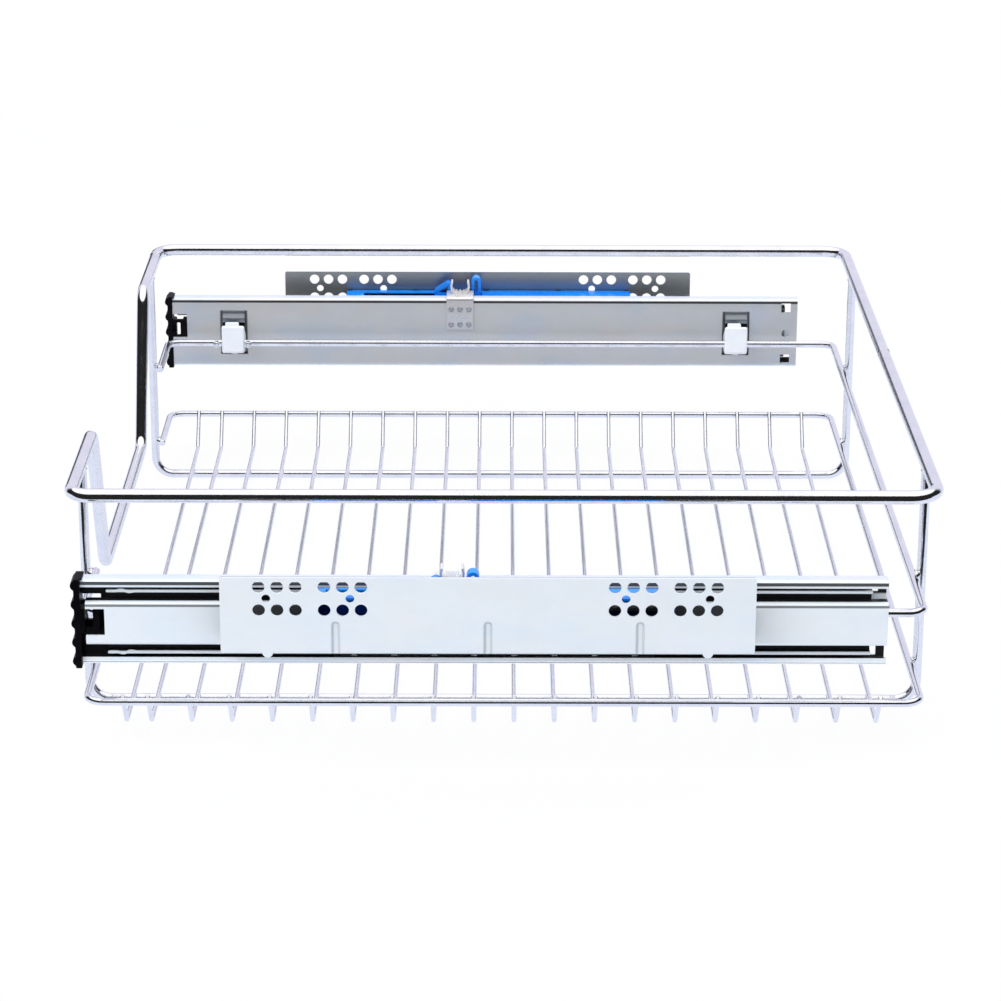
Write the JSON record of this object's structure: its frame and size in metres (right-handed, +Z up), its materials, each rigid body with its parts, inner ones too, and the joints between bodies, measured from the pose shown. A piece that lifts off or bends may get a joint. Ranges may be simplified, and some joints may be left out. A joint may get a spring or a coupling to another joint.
{
  "type": "pull-out wire basket",
  "caption": "Chromed wire basket with a lowered front, carried on full-extension ball-bearing slides with screw-on side plates and soft-close units.",
  "frame": {"origin": "below the middle of the closed basket, on the plane that its two support frames rest on", "axes": "+Z up, +X across the cabinet to the right as seen from the front, -Y the way the basket pulls out"},
  "size_m": [0.564, 0.44, 0.137],
  "materials": {
    "chrome_wire": "bright nickel-chrome plated steel wire",
    "zinc_steel": "bright zinc-plated steel strip",
    "plate_steel": "zinc-plated pressed steel sheet",
    "rivet_steel": "zinc-plated steel rivets",
    "cage_steel": "plain steel ball cages",
    "ball_steel": "polished steel balls",
    "blue_plastic": "glossy moulded plastic",
    "catch_plastic": "glossy moulded plastic",
    "black_plastic": "moulded plastic",
    "white_plastic": "moulded plastic",
    "spring_steel": "bright spring steel",
    "damper_steel": "drawn steel tube and rod"
  },
  "bodies": {
    "cabinet_side": {"bracket_plate_right": "plate_steel", "bracket_plate_left": "plate_steel", "inner_rail_right": "zinc_steel", "inner_rail_left": "zinc_steel", "rail_rivets_right": "rivet_steel", "rail_rivets_left": "rivet_steel", "soft_close_housing_right": "blue_plastic", "soft_close_housing_left": "blue_plastic", "soft_close_cover_right": "blue_plastic", "soft_close_cover_left": "blue_plastic", "damper_cylinder_right": "damper_steel", "damper_cylinder_left": "damper_steel", "closing_spring_right": "spring_steel", "closing_spring_left": "spring_steel"},
    "basket": {"top_rail": "chrome_wire", "middle_side_rail": "chrome_wire", "floor_edge_rail": "chrome_wire", "support_frame_right": "chrome_wire", "support_frame_left": "chrome_wire", "floor_wires": "chrome_wire", "clip_pegs": "chrome_wire", "outer_channel_right": "zinc_steel", "outer_channel_left": "zinc_steel", "actuator_bracket_right": "plate_steel", "actuator_bracket_left": "plate_steel", "end_cap_right": "black_plastic", "end_cap_left": "black_plastic", "spring_clips_right": "spring_steel", "spring_clips_left": "spring_steel", "rail_sleeves_right": "white_plastic", "rail_sleeves_left": "white_plastic"},
    "middle_rail_right": {"middle_rail_right": "zinc_steel"},
    "outer_cage_right": {"outer_ball_cage_right": "cage_steel", "outer_balls_right": "ball_steel"},
    "inner_cage_right": {"inner_ball_cage_right": "cage_steel", "inner_balls_right": "ball_steel"},
    "catch_right": {"soft_close_catch_right": "catch_plastic", "damper_rod_right": "damper_steel"},
    "middle_rail_left": {"middle_rail_left": "zinc_steel"},
    "outer_cage_left": {"outer_ball_cage_left": "cage_steel", "outer_balls_left": "ball_steel"},
    "inner_cage_left": {"inner_ball_cage_left": "cage_steel", "inner_balls_left": "ball_steel"},
    "catch_left": {"soft_close_catch_left": "catch_plastic", "damper_rod_left": "damper_steel"}
  },
  "joints": [
    {"name": "pull_out", "type": "slide", "parent": "cabinet_side", "child": "basket", "axis": [0, -1, 0], "range_m": [0, 0.4]},
    {"name": "middle_rail_right_slide", "type": "slide", "parent": "cabinet_side", "child": "middle_rail_right", "axis": [0, -1, 0], "range_m": [0, 0.2]},
    {"name": "outer_cage_right_slide", "type": "slide", "parent": "cabinet_side", "child": "outer_cage_right", "axis": [0, -1, 0], "range_m": [0, 0.3]},
    {"name": "inner_cage_right_slide", "type": "slide", "parent": "cabinet_side", "child": "inner_cage_right", "axis": [0, -1, 0], "range_m": [0, 0.1]},
    {"name": "catch_right_slide", "type": "slide", "parent": "cabinet_side", "child": "catch_right", "axis": [0, -1, 0], "range_m": [0, 0.045], "deforming": ["closing_spring_right"]},
    {"name": "middle_rail_left_slide", "type": "slide", "parent": "cabinet_side", "child": "middle_rail_left", "axis": [0, -1, 0], "range_m": [0, 0.2]},
    {"name": "outer_cage_left_slide", "type": "slide", "parent": "cabinet_side", "child": "outer_cage_left", "axis": [0, -1, 0], "range_m": [0, 0.3]},
    {"name": "inner_cage_left_slide", "type": "slide", "parent": "cabinet_side", "child": "inner_cage_left", "axis": [0, -1, 0], "range_m": [0, 0.1]},
    {"name": "catch_left_slide", "type": "slide", "parent": "cabinet_side", "child": "catch_left", "axis": [0, -1, 0], "range_m": [0, 0.045], "deforming": ["closing_spring_left"]}
  ],
  "couplings": [
    {"joint": "middle_rail_right_slide", "follows": "pull_out", "ratio": 0.5},
    {"joint": "outer_cage_right_slide", "follows": "pull_out", "ratio": 0.75},
    {"joint": "inner_cage_right_slide", "follows": "pull_out", "ratio": 0.25},
    {"joint": "middle_rail_left_slide", "follows": "pull_out", "ratio": 0.5},
    {"joint": "outer_cage_left_slide", "follows": "pull_out", "ratio": 0.75},
    {"joint": "inner_cage_left_slide", "follows": "pull_out", "ratio": 0.25}
  ]
}
